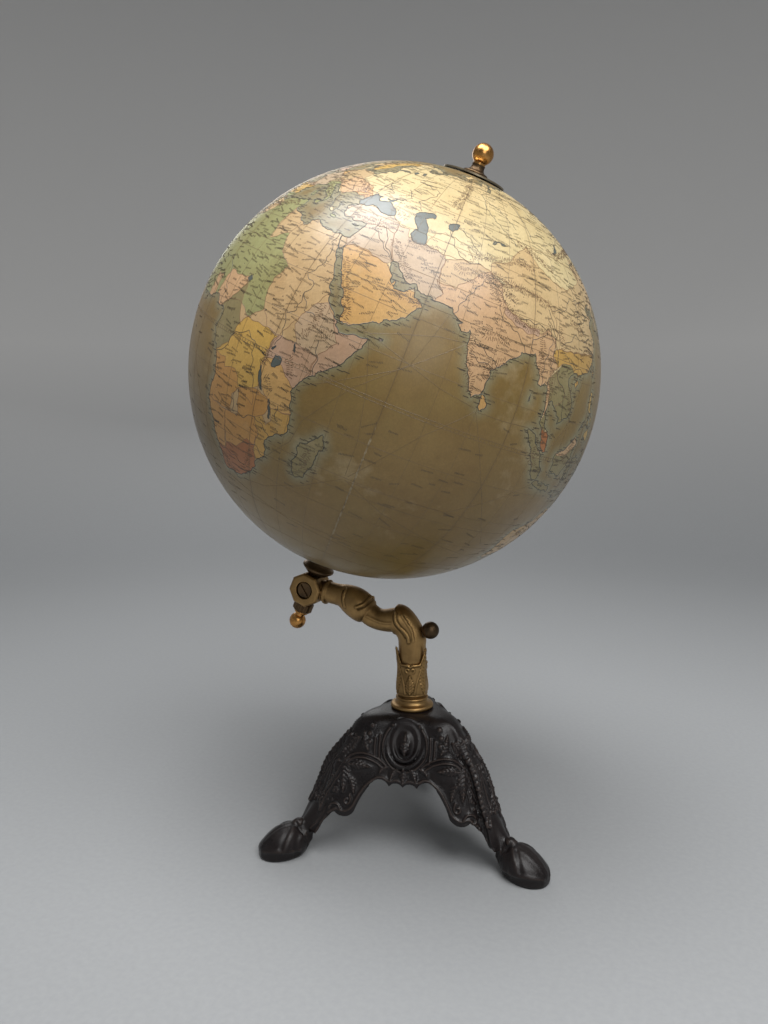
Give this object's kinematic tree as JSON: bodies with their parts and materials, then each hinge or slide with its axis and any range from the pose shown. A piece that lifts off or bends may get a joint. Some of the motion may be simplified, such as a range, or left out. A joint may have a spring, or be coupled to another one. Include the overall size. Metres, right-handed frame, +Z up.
{
  "type": "terrestrial table globe",
  "caption": "Paper-covered terrestrial globe turning on a tilted rod, on an S-shaped brass arm that swivels on a hollow cast-iron tripod with hoof feet.",
  "frame": {"origin": "on the floor, on the tripod's vertical axis, which is the arm's swivel axis", "axes": "+Z up, the arm lies in the XZ plane, and the globe's north end leans towards +X"},
  "size_m": [0.33, 0.33, 0.566],
  "materials": {
    "iron": "old black paint, soft sheen",
    "brass": "dull antique",
    "polished_brass": "polished",
    "steel": "darkened",
    "papier_mache": "plaster-faced papier-mache",
    "card": "raw",
    "wood": "turned",
    "map_paper": "aged varnish, semi-gloss"
  },
  "bodies": {
    "base": {"tripod_base": "iron", "base_collar": "brass", "leaf_cup": "brass", "post_spindle": "steel", "base_washer": "steel", "base_nut": "steel"},
    "arm": {"arm": "brass", "rod_clamp_screw": "steel", "axis_rod": "steel", "south_seat": "brass", "lower_nut": "brass", "lower_finial": "polished_brass", "top_collar": "brass", "ball_finial": "polished_brass"},
    "lock_screw": {"thumb_screw": "brass"},
    "globe": {"north_shell": "papier_mache", "south_shell": "papier_mache", "equator_band": "card", "north_pole_block": "wood", "south_pole_block": "wood", "north_bush": "brass", "south_bush": "brass", "north_calotte": "map_paper", "south_calotte": "map_paper", "gore_01": "map_paper", "gore_02": "map_paper", "gore_03": "map_paper", "gore_04": "map_paper", "gore_05": "map_paper", "gore_06": "map_paper", "gore_07": "map_paper", "gore_08": "map_paper", "gore_09": "map_paper", "gore_10": "map_paper", "gore_11": "map_paper", "gore_12": "map_paper"},
    "dial": {"hour_dial": "brass"}
  },
  "joints": [
    {"name": "arm_swivel", "type": "hinge", "parent": "base", "child": "arm", "pos_m": [0, 0, 0.155], "axis": [0, 0, 1], "continuous": true},
    {"name": "thumb_screw_turn", "type": "hinge", "parent": "arm", "child": "lock_screw", "pos_m": [0.0162, 0, 0.18], "axis": [1, 0, 0], "range_deg": [0, 360]},
    {"name": "globe_spin", "type": "hinge", "parent": "arm", "child": "globe", "pos_m": [-0.017, 0, 0.3895], "axis": [0.3987, 0, 0.9171], "continuous": true},
    {"name": "hour_dial_turn", "type": "hinge", "parent": "arm", "child": "dial", "pos_m": [-0.017, 0, 0.3895], "axis": [0.3987, 0, 0.9171], "continuous": true}
  ]
}
